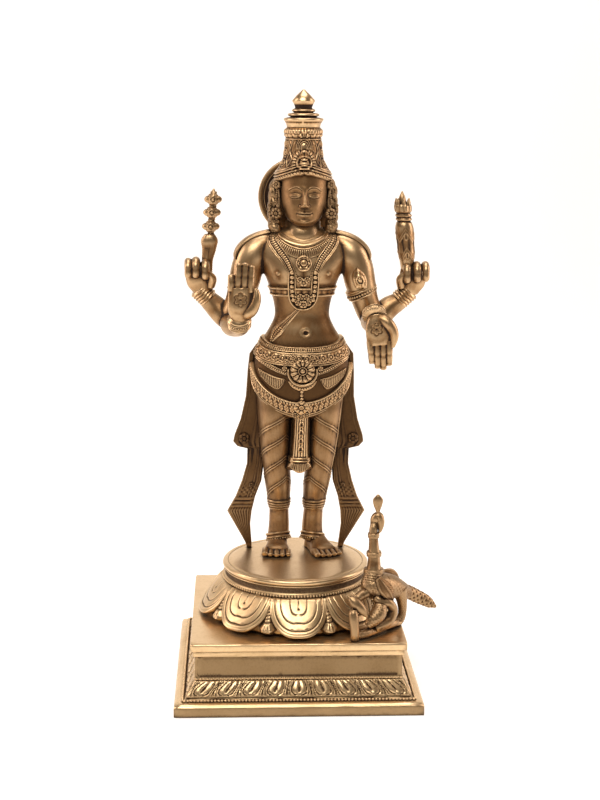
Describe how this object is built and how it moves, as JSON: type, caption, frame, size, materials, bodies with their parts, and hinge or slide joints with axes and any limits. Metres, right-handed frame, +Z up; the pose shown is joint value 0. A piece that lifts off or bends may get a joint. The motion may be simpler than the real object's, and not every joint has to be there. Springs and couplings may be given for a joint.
{
  "type": "standing deity statue",
  "caption": "Cast brass statue of a standing many-armed deity in a tall crown, on a lotus seat and square pedestal with a peacock at one corner.",
  "frame": {"origin": "centre of the pedestal's square underside", "axes": "+Z up; -Y is the way the figure faces; +X is the viewer's right, the side the peacock stands on"},
  "size_m": [0.2733, 0.25, 0.6123],
  "materials": {
    "polished_brass": "polished with dark antiquing in the carving",
    "antiqued_brass": "burnished with dark brown antiquing"
  },
  "bodies": {
    "root": {"pedestal": "polished_brass", "lotus_base": "polished_brass", "figure": "antiqued_brass", "halo": "antiqued_brass", "peacock": "antiqued_brass"}
  },
  "joints": []
}
